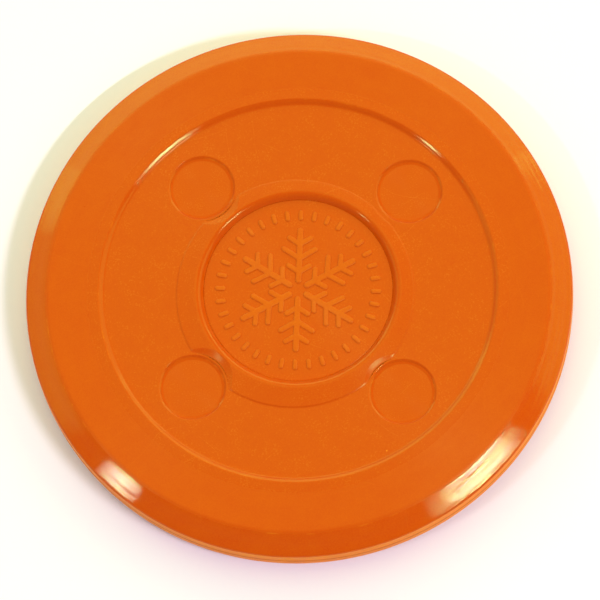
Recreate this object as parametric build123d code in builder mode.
"""Air-hockey puck: two moulded halves back to back, four plugs that join them and a disc let into each hub.

Millimetres. +Z is the puck's axis, and the origin is the middle of the face that it rests on.
"""

import os
from math import radians, tan

from build123d import *

# Whole puck
puck_diameter = 82.55
puck_thickness = 7.4
fit_clearance = 0.05

# Rim: a wall that is drafted from the seam, then the wide outer chamfer
rim_wall_height = 4.0
rim_draft_angle = 2.0
seam_edge_break = 0.12
rim_chamfer_width = 3.2

# Flat riding ring, and the round recess inside it
riding_ring_width = 8.0
recess_depth = 0.5
recess_draft_angle = 57.0

# Hub: a collar that climbs towards the disc in its middle, and a mouth that flares out from the disc's seat
hub_mouth_flare = 0.75
hub_mouth_round = 1.2
collar_top_width = 2.75
collar_top_slope = 7.9
collar_wall_draft_angle = 30.0

# Disc let into the hub
hub_disc_diameter = 28.4
hub_disc_thickness = 1.2
hub_disc_sink = 0.95
hub_disc_edge_break = 0.1

# Plugs that go through both halves, on a circle whose centre lies a little to the +X side of the axis,
# and the reliefs that clear them in the collar
plug_count = 4
plug_first_angle = 45.0
plug_diameter = 9.5
plug_offset = 4.4
plug_circle_drift = 0.5
plug_sink = 0.2
plug_edge_break = 0.2
relief_gap = 1.2
relief_draft_angle = 15.0

# Radii, from the rim inwards
rim_radius = puck_diameter / 2
chamfer_outer_radius = rim_radius - rim_wall_height / 2 * tan(radians(rim_draft_angle))
riding_outer_radius = rim_radius - rim_chamfer_width
recess_radius = riding_outer_radius - riding_ring_width
recess_floor_radius = recess_radius - recess_depth * tan(radians(recess_draft_angle))
hub_disc_radius = hub_disc_diameter / 2
disc_seat_radius = hub_disc_radius + fit_clearance
hub_mouth_radius = disc_seat_radius + hub_mouth_flare
collar_edge_radius = hub_mouth_radius + collar_top_width
plug_radius = plug_diameter / 2
plug_bore_radius = plug_radius + fit_clearance
relief_radius = plug_bore_radius + relief_gap

# Heights above the face that the puck rests on
seam_height = puck_thickness / 2
wall_top_height = seam_height + rim_wall_height / 2
recess_floor_height = puck_thickness - recess_depth
collar_edge_height = puck_thickness - collar_top_width * tan(radians(collar_top_slope))
disc_top_height = puck_thickness - hub_disc_sink
disc_seat_height = disc_top_height - hub_disc_thickness
plug_top_height = recess_floor_height - plug_sink
plug_bottom_height = 2 * seam_height - plug_top_height

# What follows from both
collar_wall_height = collar_edge_height - recess_floor_height
collar_base_radius = collar_edge_radius + collar_wall_height * tan(radians(collar_wall_draft_angle))
plug_pitch_radius = collar_base_radius + plug_offset
seam_plane = Plane.XY.offset(seam_height)

os.makedirs("parts", exist_ok=True)


def keep(piece, name):
    """Labels a finished piece and writes it as its own STEP file."""
    piece.part.label = name
    export_step(piece.part, f"parts/{name}.step")


# Upper half: its section runs from the axis along the seam, up the rim and back across the face.
# The reliefs stop at the recess floor, and the bores for the plugs go right through.
hub_mouth = (hub_mouth_radius, puck_thickness)
with BuildPart() as upper_half:
    with BuildSketch(Plane.XZ) as half_section:
        with BuildLine():
            Polyline(
                (0, seam_height),
                (rim_radius - seam_edge_break, seam_height),
                (rim_radius, seam_height + seam_edge_break),
                (chamfer_outer_radius, wall_top_height),
                (riding_outer_radius, puck_thickness),
                (recess_radius, puck_thickness),
                (recess_floor_radius, recess_floor_height),
                (collar_base_radius, recess_floor_height),
                (collar_edge_radius, collar_edge_height),
                hub_mouth,
                (disc_seat_radius, disc_top_height),
                (disc_seat_radius, disc_seat_height),
                (0, disc_seat_height),
                close=True,
            )
        make_face()
        fillet(half_section.vertices().sort_by_distance(hub_mouth)[0], hub_mouth_round)
    revolve(axis=Axis.Z)
    with BuildSketch(Plane.XY.offset(recess_floor_height)):
        with Locations((plug_circle_drift, 0)):
            with PolarLocations(plug_pitch_radius, plug_count, plug_first_angle):
                Circle(relief_radius)
    extrude(amount=recess_depth, taper=-relief_draft_angle, mode=Mode.SUBTRACT)
    with BuildSketch(seam_plane):
        with Locations((plug_circle_drift, 0)):
            with PolarLocations(plug_pitch_radius, plug_count, plug_first_angle):
                Circle(plug_bore_radius)
    extrude(amount=puck_thickness - seam_height, mode=Mode.SUBTRACT)
keep(upper_half, "upper_half")

# Lower half: the same moulding, turned over
with BuildPart() as lower_half:
    mirror(upper_half.part, about=seam_plane)
keep(lower_half, "lower_half")

# Hub discs: one seated in each half, its outer edge broken
with BuildPart() as upper_disc:
    with BuildSketch(Plane.XY.offset(disc_seat_height)):
        Circle(hub_disc_radius)
    extrude(amount=hub_disc_thickness)
    chamfer(upper_disc.faces().sort_by(Axis.Z)[-1].edges(), hub_disc_edge_break)
keep(upper_disc, "upper_hub_disc")

with BuildPart() as lower_disc:
    mirror(upper_disc.part, about=seam_plane)
keep(lower_disc, "lower_hub_disc")

# Joining plugs: each fills its bore in both halves and stops short of both recess floors
for number in range(plug_count):
    plug_angle = plug_first_angle + number * 360 / plug_count
    with BuildPart() as plug:
        with BuildSketch(Plane.XY.offset(plug_bottom_height)):
            with Locations((plug_circle_drift, 0)), PolarLocations(plug_pitch_radius, 1, plug_angle):
                Circle(plug_radius)
        extrude(amount=plug_top_height - plug_bottom_height)
        chamfer(plug.faces().filter_by(Axis.Z).edges(), plug_edge_break)
    keep(plug, f"joining_plug_{number + 1}")
